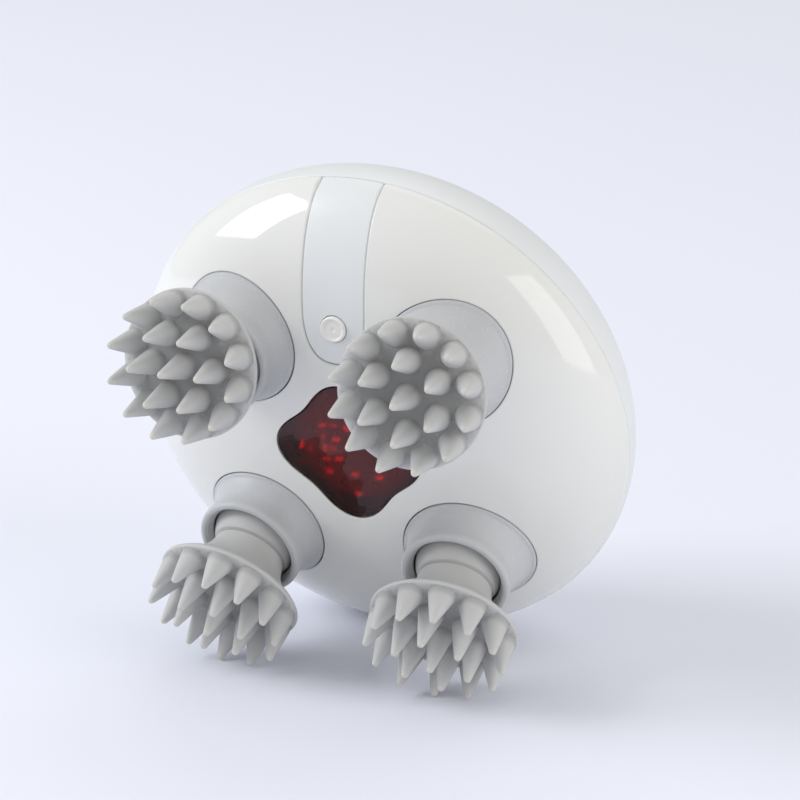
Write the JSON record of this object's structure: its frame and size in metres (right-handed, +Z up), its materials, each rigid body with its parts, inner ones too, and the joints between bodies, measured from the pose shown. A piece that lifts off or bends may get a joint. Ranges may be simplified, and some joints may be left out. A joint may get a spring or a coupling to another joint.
{
  "type": "electric scalp massager",
  "caption": "Round palm-held electric scalp massager whose soft spiked heads rock on inclined crank pins around a dark red window, with a push button on a tongue panel.",
  "frame": {"origin": "centre of the box's underside, on the surface that the rim and the two lower heads stand on", "axes": "+Z up, -Y towards the massage heads and the window, +Y towards the rear cover, +X to the right when the face is seen"},
  "size_m": [0.112, 0.0892, 0.1093],
  "materials": {
    "gloss_shell": "glossy moulded white",
    "satin_shell": "satin moulded bluish white",
    "silicone": "matte light grey silicone",
    "window": "polished dark red, tinted and see-through",
    "black_plastic": "matte black",
    "seal_rubber": "matte black rubber",
    "inner_plastic": "plain moulded, natural colour",
    "gear_plastic": "moulded acetal, low sheen",
    "steel": "turned, lightly oiled",
    "bronze": "sintered, oiled",
    "copper": "enamelled winding",
    "circuit_board": "green solder mask",
    "cell_pouch": "foil pouch, satin"
  },
  "bodies": {
    "housing": {"rear_cover": "satin_shell", "seam_seal": "seal_rubber", "face_shell": "gloss_shell", "tongue_panel": "satin_shell", "button_switch": "black_plastic", "window_lens": "window", "light_shroud": "black_plastic", "led_board": "circuit_board", "gearbox_cover": "inner_plastic", "gearbox_base": "inner_plastic", "motor_gearhead": "inner_plastic", "motor": "steel", "battery": "cell_pouch", "main_board": "circuit_board", "charge_coil": "copper", "case_screw_1": "steel", "case_screw_2": "steel", "case_screw_3": "steel", "collar_top_left": "silicone", "crank_bush_top_left": "bronze", "collar_top_right": "silicone", "crank_bush_top_right": "bronze", "collar_bottom_left": "silicone", "crank_bush_bottom_left": "bronze", "collar_bottom_right": "silicone", "crank_bush_bottom_right": "bronze"},
    "drive": {"drive_gear": "gear_plastic", "drive_shaft": "steel"},
    "button": {"power_button": "satin_shell"},
    "crank_top_left": {"crank_shaft_top_left": "steel", "crank_gear_top_left": "gear_plastic", "pin_clip_top_left": "steel"},
    "crank_top_right": {"crank_shaft_top_right": "steel", "crank_gear_top_right": "gear_plastic", "pin_clip_top_right": "steel"},
    "crank_bottom_left": {"crank_shaft_bottom_left": "steel", "crank_gear_bottom_left": "gear_plastic", "pin_clip_bottom_left": "steel"},
    "crank_bottom_right": {"crank_shaft_bottom_right": "steel", "crank_gear_bottom_right": "gear_plastic", "pin_clip_bottom_right": "steel"},
    "head_top_left": {"head_core_top_left": "inner_plastic", "head_pad_top_left": "silicone"},
    "head_top_right": {"head_core_top_right": "inner_plastic", "head_pad_top_right": "silicone"},
    "head_bottom_left": {"head_core_bottom_left": "inner_plastic", "head_pad_bottom_left": "silicone"},
    "head_bottom_right": {"head_core_bottom_right": "inner_plastic", "head_pad_bottom_right": "silicone"}
  },
  "joints": [
    {"name": "drive_spin", "type": "hinge", "parent": "housing", "child": "drive", "pos_m": [0, 0.00948, 0.05442], "axis": [0, -0.9676, -0.2524], "continuous": true},
    {"name": "button_press", "type": "slide", "parent": "housing", "child": "button", "axis": [0, 0.9969, 0.0785], "range_m": [0, 0.0006], "stiffness_N_per_m": 1200, "springref_m": -0.0004},
    {"name": "crank_spin_top_left", "type": "hinge", "parent": "housing", "child": "crank_top_left", "pos_m": [-0.02369, -0.01668, 0.07208], "axis": [-0.0893, -0.9824, -0.164], "continuous": true},
    {"name": "head_rock_top_left", "type": "hinge", "parent": "crank_top_left", "child": "head_top_left", "pos_m": [-0.02369, -0.01668, 0.07208], "axis": [-0.0845, -0.9927, 0.0864], "continuous": true},
    {"name": "crank_spin_top_right", "type": "hinge", "parent": "housing", "child": "crank_top_right", "pos_m": [0.02369, -0.01668, 0.07208], "axis": [0.0893, -0.9824, -0.164], "continuous": true},
    {"name": "head_rock_top_right", "type": "hinge", "parent": "crank_top_right", "child": "head_top_right", "pos_m": [0.02369, -0.01668, 0.07208], "axis": [0.0845, -0.9927, 0.0864], "continuous": true},
    {"name": "crank_spin_bottom_left", "type": "hinge", "parent": "housing", "child": "crank_bottom_left", "pos_m": [-0.02369, -0.00472, 0.02624], "axis": [-0.0893, -0.9373, -0.3368], "continuous": true},
    {"name": "head_rock_bottom_left", "type": "hinge", "parent": "crank_bottom_left", "child": "head_bottom_left", "pos_m": [-0.02369, -0.00472, 0.02624], "axis": [-0.0845, -0.824, -0.5603], "continuous": true},
    {"name": "crank_spin_bottom_right", "type": "hinge", "parent": "housing", "child": "crank_bottom_right", "pos_m": [0.02369, -0.00472, 0.02624], "axis": [0.0893, -0.9373, -0.3368], "continuous": true},
    {"name": "head_rock_bottom_right", "type": "hinge", "parent": "crank_bottom_right", "child": "head_bottom_right", "pos_m": [0.02369, -0.00472, 0.02624], "axis": [0.0845, -0.824, -0.5603], "continuous": true}
  ],
  "couplings": [
    {"joint": "crank_spin_top_left", "follows": "drive_spin", "ratio": -1},
    {"joint": "head_rock_top_left", "follows": "drive_spin", "ratio": 1},
    {"joint": "crank_spin_top_right", "follows": "drive_spin", "ratio": -1},
    {"joint": "head_rock_top_right", "follows": "drive_spin", "ratio": 1},
    {"joint": "crank_spin_bottom_left", "follows": "drive_spin", "ratio": -1},
    {"joint": "head_rock_bottom_left", "follows": "drive_spin", "ratio": 1},
    {"joint": "crank_spin_bottom_right", "follows": "drive_spin", "ratio": -1},
    {"joint": "head_rock_bottom_right", "follows": "drive_spin", "ratio": 1}
  ]
}
